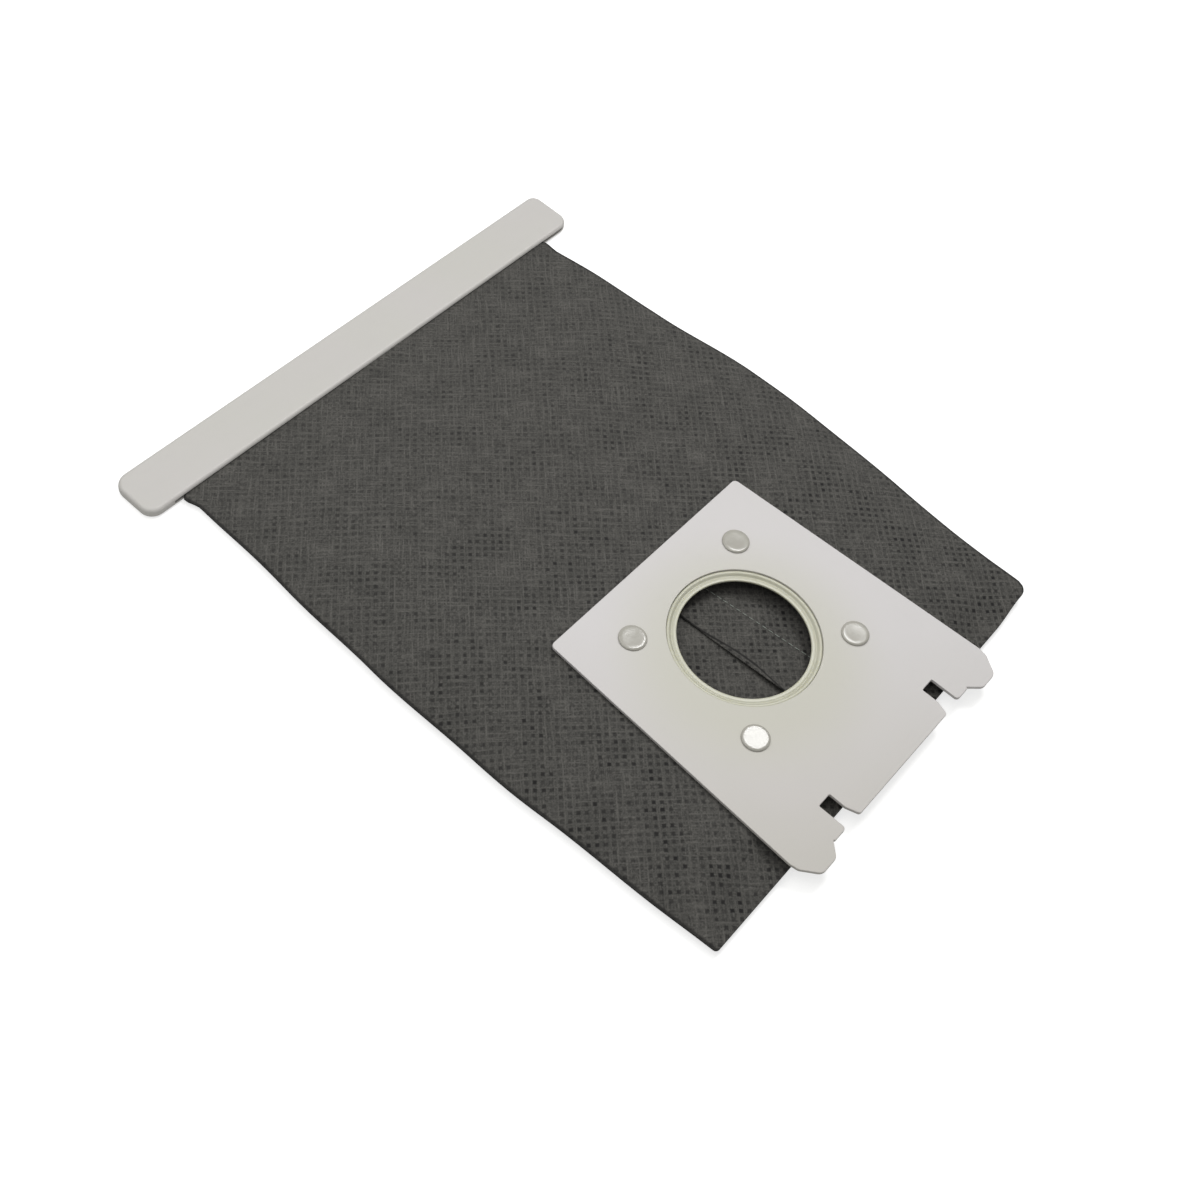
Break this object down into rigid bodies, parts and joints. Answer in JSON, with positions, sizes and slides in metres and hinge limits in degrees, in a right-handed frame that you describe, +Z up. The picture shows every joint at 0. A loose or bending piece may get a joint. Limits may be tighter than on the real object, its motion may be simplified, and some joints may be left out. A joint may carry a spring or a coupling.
{
  "type": "vacuum cleaner filter bag",
  "caption": "Washable cloth dust bag for a vacuum cleaner, with a flat notched collar plate, a sealed round inlet and a sliding closing rail.",
  "frame": {"origin": "middle of the whole part's footprint, on the plane that the bag lies on", "axes": "+X across the bag, +Y from the collar towards the closing rail, +Z up, out of the collar's face and its inlet"},
  "size_m": [0.2396, 0.296, 0.0103],
  "materials": {
    "collar_plastic": "satin moulded polypropylene, light warm grey",
    "seal_rubber": "milky, slightly yellow soft rubber",
    "backing_plastic": "moulded polypropylene with glossy, dished stake heads",
    "bag_cloth": "dark grey spunbonded cloth with a fine grid of bond points",
    "clip_plastic": "satin extruded plastic, light grey"
  },
  "bodies": {
    "bag": {"filter_bag": "bag_cloth", "collar_plate": "collar_plastic", "inlet_seal": "seal_rubber", "backing_plate": "backing_plastic"},
    "clip": {"closure_clip": "clip_plastic"}
  },
  "joints": [
    {"name": "clip_slide", "type": "slide", "parent": "bag", "child": "clip", "axis": [1, 0, 0], "range_m": [-0.22, 0.004]}
  ]
}
